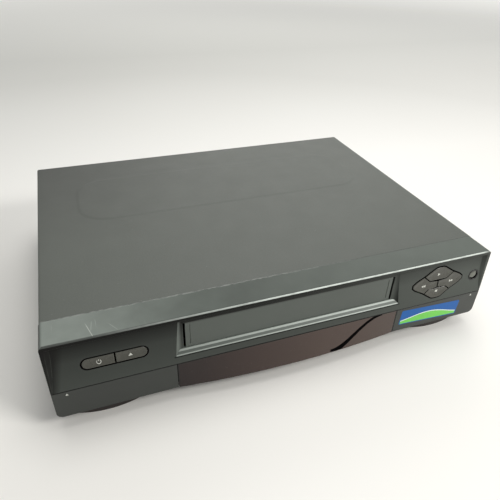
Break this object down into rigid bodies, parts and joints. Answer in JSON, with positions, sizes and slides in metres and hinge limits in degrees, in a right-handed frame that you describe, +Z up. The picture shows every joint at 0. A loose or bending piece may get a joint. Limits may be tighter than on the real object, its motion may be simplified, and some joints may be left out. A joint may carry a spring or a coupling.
{
  "type": "vhs video cassette recorder",
  "caption": "Front-loading video cassette recorder with a steel cover, moulded front, slot flap, flip-down doors, keys, cassette lift and helical-scan tape deck.",
  "frame": {"origin": "centre of the part's bounding box in plan, at the bottom of the feet", "axes": "+X to the viewer's right, the front faces -Y, +Z up"},
  "size_m": [0.3912, 0.3174, 0.0864],
  "materials": {
    "steel_cover": "fine-textured dark grey",
    "moulding": "fine-textured dark grey",
    "door_plastic": "fine-textured dark grey",
    "flap_plastic": "smooth satin",
    "window": "smoked brown, glossy",
    "key_plastic": "satin",
    "metal_key": "satin",
    "foot_plastic": "satin dark brown",
    "rubber_black": "matt",
    "steel_plate": "zinc plated",
    "bright_steel": "polished",
    "cast_alloy": "cast",
    "drum_alloy": "polished",
    "circuit_board": "solder mask",
    "phenolic_board": "plain",
    "black_plastic": "plain",
    "pale_plastic": "natural acetal",
    "brass_contact": "plated",
    "display_glass": "dark glass",
    "tray_plastic": "plain",
    "winding": "varnished"
  },
  "bodies": {
    "chassis": {"top_cover": "steel_cover", "bottom_tray": "tray_plastic", "rear_panel": "steel_plate", "front_bezel": "moulding", "niche_panel": "moulding", "display_window": "window", "flap_spring": "bright_steel", "front_feet": "foot_plastic", "rear_feet": "rubber_black", "cover_screws": "bright_steel", "front_board": "phenolic_board", "key_switches": "black_plastic", "fluorescent_display": "display_glass", "front_av_sockets": "brass_contact", "main_board": "circuit_board", "power_board": "phenolic_board", "transformer": "winding", "board_components": "black_plastic", "heat_sink": "cast_alloy", "tuner_module": "steel_plate", "rear_av_sockets": "brass_contact", "power_inlet": "black_plastic", "deck_plate": "steel_plate", "lift_frame": "steel_plate", "drum_base": "cast_alloy", "lower_drum": "drum_alloy", "drum_motor": "black_plastic", "capstan_stator": "circuit_board", "drive_belt": "rubber_black", "loading_motor": "bright_steel", "tape_heads": "bright_steel"},
    "flap": {"cassette_flap": "flap_plastic"},
    "left_door": {"left_door": "door_plastic"},
    "right_door": {"right_door": "door_plastic"},
    "power_key": {"power_key": "key_plastic"},
    "eject_key": {"eject_key": "key_plastic"},
    "play_key": {"play_key": "key_plastic"},
    "rewind_key": {"rewind_key": "key_plastic"},
    "forward_key": {"forward_key": "key_plastic"},
    "stop_key": {"stop_key": "key_plastic"},
    "record_key": {"record_key": "metal_key"},
    "channel_up_key": {"channel_up_key": "key_plastic"},
    "channel_down_key": {"channel_down_key": "key_plastic"},
    "lift_carriage": {"lift_carriage": "steel_plate"},
    "cassette_holder": {"cassette_holder": "steel_plate"},
    "lift_gear": {"lift_gear": "pale_plastic"},
    "upper_drum": {"upper_drum": "drum_alloy"},
    "capstan": {"capstan": "bright_steel"},
    "clutch_pulley": {"clutch_pulley": "pale_plastic"},
    "idler_arm": {"idler_arm": "steel_plate"},
    "idler_wheel": {"idler_wheel": "rubber_black"},
    "supply_reel": {"supply_reel": "pale_plastic"},
    "takeup_reel": {"takeup_reel": "pale_plastic"},
    "pinch_arm": {"pinch_arm": "steel_plate"},
    "pinch_roller": {"pinch_roller": "rubber_black"},
    "mode_gear": {"mode_gear": "pale_plastic"},
    "loading_pinion": {"loading_pinion": "pale_plastic"},
    "supply_guide": {"supply_guide": "bright_steel"},
    "takeup_guide": {"takeup_guide": "bright_steel"},
    "tension_arm": {"tension_arm": "steel_plate"}
  },
  "joints": [
    {"name": "flap_hinge", "type": "hinge", "parent": "chassis", "child": "flap", "pos_m": [0, -0.14645, 0.0795], "axis": [1, 0, 0], "range_deg": [0, 88], "stiffness_Nm_per_rad": 0.003, "springref_deg": -28.65},
    {"name": "left_door_hinge", "type": "hinge", "parent": "chassis", "child": "left_door", "pos_m": [-0.15, -0.14835, 0.017], "axis": [1, 0, 0], "range_deg": [0, 90]},
    {"name": "right_door_hinge", "type": "hinge", "parent": "chassis", "child": "right_door", "pos_m": [0.15, -0.14835, 0.017], "axis": [1, 0, 0], "range_deg": [0, 90]},
    {"name": "power_key_press", "type": "slide", "parent": "chassis", "child": "power_key", "axis": [0, 1, 0], "range_m": [0, 0.0012], "stiffness_N_per_m": 300},
    {"name": "eject_key_press", "type": "slide", "parent": "chassis", "child": "eject_key", "axis": [0, 1, 0], "range_m": [0, 0.0012], "stiffness_N_per_m": 300},
    {"name": "play_key_press", "type": "slide", "parent": "chassis", "child": "play_key", "axis": [0, 1, 0], "range_m": [0, 0.0012], "stiffness_N_per_m": 300},
    {"name": "rewind_key_press", "type": "slide", "parent": "chassis", "child": "rewind_key", "axis": [0, 1, 0], "range_m": [0, 0.0012], "stiffness_N_per_m": 300},
    {"name": "forward_key_press", "type": "slide", "parent": "chassis", "child": "forward_key", "axis": [0, 1, 0], "range_m": [0, 0.0012], "stiffness_N_per_m": 300},
    {"name": "stop_key_press", "type": "slide", "parent": "chassis", "child": "stop_key", "axis": [0, 1, 0], "range_m": [0, 0.0012], "stiffness_N_per_m": 300},
    {"name": "record_key_press", "type": "slide", "parent": "chassis", "child": "record_key", "axis": [0, 1, 0], "range_m": [0, 0.0012], "stiffness_N_per_m": 300},
    {"name": "channel_up_key_press", "type": "slide", "parent": "chassis", "child": "channel_up_key", "axis": [0, 1, 0], "range_m": [0, 0.0012], "stiffness_N_per_m": 300},
    {"name": "channel_down_key_press", "type": "slide", "parent": "chassis", "child": "channel_down_key", "axis": [0, 1, 0], "range_m": [0, 0.0012], "stiffness_N_per_m": 300},
    {"name": "carriage_slide", "type": "slide", "parent": "chassis", "child": "lift_carriage", "axis": [0, 1, 0], "range_m": [0, 0.042]},
    {"name": "holder_lower", "type": "slide", "parent": "lift_carriage", "child": "cassette_holder", "axis": [0, 0, -1], "range_m": [0, 0.02]},
    {"name": "lift_gear_spin", "type": "hinge", "parent": "chassis", "child": "lift_gear", "pos_m": [0.1022, -0.05725, 0.0454], "axis": [1, 0, 0], "range_deg": [-1, 302]},
    {"name": "drum_spin", "type": "hinge", "parent": "chassis", "child": "upper_drum", "pos_m": [0, 0.05775, 0.0342], "axis": [0, 0.1045, 0.9945], "continuous": true},
    {"name": "capstan_spin", "type": "hinge", "parent": "chassis", "child": "capstan", "pos_m": [0.066, 0.02775, 0.0292], "axis": [0, 0, 1], "continuous": true},
    {"name": "clutch_spin", "type": "hinge", "parent": "chassis", "child": "clutch_pulley", "pos_m": [0, -0.00575, 0.0292], "axis": [0, 0, 1], "continuous": true},
    {"name": "idler_swing", "type": "hinge", "parent": "chassis", "child": "idler_arm", "pos_m": [0, -0.00575, 0.0292], "axis": [0, 0, 1], "range_deg": [-15, 15]},
    {"name": "idler_spin", "type": "hinge", "parent": "idler_arm", "child": "idler_wheel", "pos_m": [0, -0.03175, 0.0292], "axis": [0, 0, 1], "continuous": true},
    {"name": "supply_reel_spin", "type": "hinge", "parent": "chassis", "child": "supply_reel", "pos_m": [-0.046, -0.04025, 0.0292], "axis": [0, 0, 1], "continuous": true},
    {"name": "takeup_reel_spin", "type": "hinge", "parent": "chassis", "child": "takeup_reel", "pos_m": [0.046, -0.04025, 0.0292], "axis": [0, 0, 1], "continuous": true},
    {"name": "mode_gear_turn", "type": "hinge", "parent": "chassis", "child": "mode_gear", "pos_m": [-0.062, 0.06775, 0.022], "axis": [0, 0, 1], "range_deg": [0, 270]},
    {"name": "pinion_spin", "type": "hinge", "parent": "chassis", "child": "loading_pinion", "pos_m": [-0.07897, 0.08472, 0.022], "axis": [0, 0, 1], "range_deg": [-1085, 5]},
    {"name": "pinch_swing", "type": "hinge", "parent": "chassis", "child": "pinch_arm", "pos_m": [0.094, 0.03375, 0.0292], "axis": [0, 0, 1], "range_deg": [-30.01, 0.01]},
    {"name": "pinch_roller_spin", "type": "hinge", "parent": "pinch_arm", "child": "pinch_roller", "pos_m": [0.07859, 0.00961, 0.0292], "axis": [0, 0, 1], "continuous": true},
    {"name": "supply_guide_slide", "type": "slide", "parent": "chassis", "child": "supply_guide", "axis": [-0.2577, 0.9662, 0], "range_m": [0, 0.0621]},
    {"name": "takeup_guide_slide", "type": "slide", "parent": "chassis", "child": "takeup_guide", "axis": [0.2577, 0.9662, 0], "range_m": [0, 0.0621]},
    {"name": "tension_swing", "type": "hinge", "parent": "chassis", "child": "tension_arm", "pos_m": [-0.088, 0.02575, 0.0292], "axis": [0, 0, 1], "range_deg": [-12, 12], "stiffness_Nm_per_rad": 0.01}
  ],
  "couplings": [
    {"joint": "lift_gear_spin", "follows": "carriage_slide", "rad_per_m": 125},
    {"joint": "clutch_spin", "follows": "capstan_spin", "ratio": 0.66667},
    {"joint": "pinion_spin", "follows": "mode_gear_turn", "ratio": -4},
    {"joint": "pinch_swing", "follows": "mode_gear_turn", "ratio": -0.11111},
    {"joint": "supply_guide_slide", "follows": "mode_gear_turn", "m_per_rad": 0.013164},
    {"joint": "takeup_guide_slide", "follows": "mode_gear_turn", "m_per_rad": 0.013164}
  ]
}
